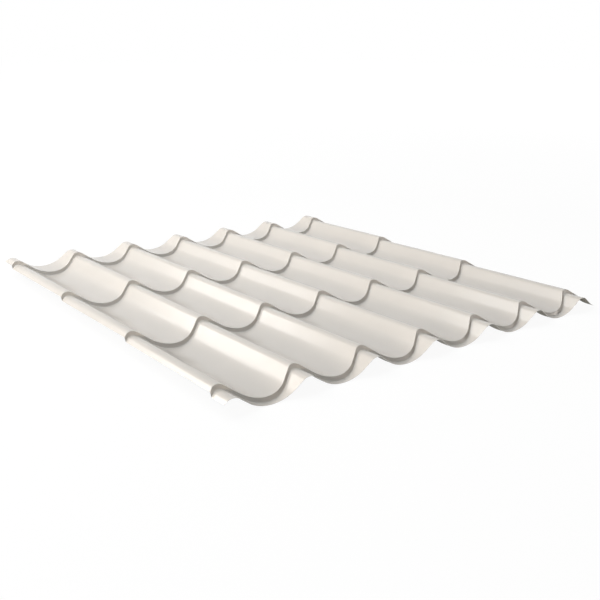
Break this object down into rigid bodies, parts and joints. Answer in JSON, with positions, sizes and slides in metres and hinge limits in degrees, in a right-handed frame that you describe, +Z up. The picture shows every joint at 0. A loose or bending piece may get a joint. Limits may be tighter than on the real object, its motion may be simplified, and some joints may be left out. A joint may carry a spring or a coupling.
{
  "type": "tile effect metal roofing sheet",
  "caption": "Thin painted steel roofing sheet rolled into waves and pressed into scalloped steps, so that it looks like rows of roof tiles.",
  "frame": {"origin": "middle of the sheet's outline, at the level of its lowest troughs", "axes": "+X across the slope, along the steps; +Y up the slope, against the fall of the water; +Z up, out of the weather face"},
  "size_m": [1.178, 1.151, 0.0457],
  "materials": {
    "painted_sheet": "smooth gloss paint, off-white"
  },
  "bodies": {
    "root": {"tile_sheet": "painted_sheet"}
  },
  "joints": []
}
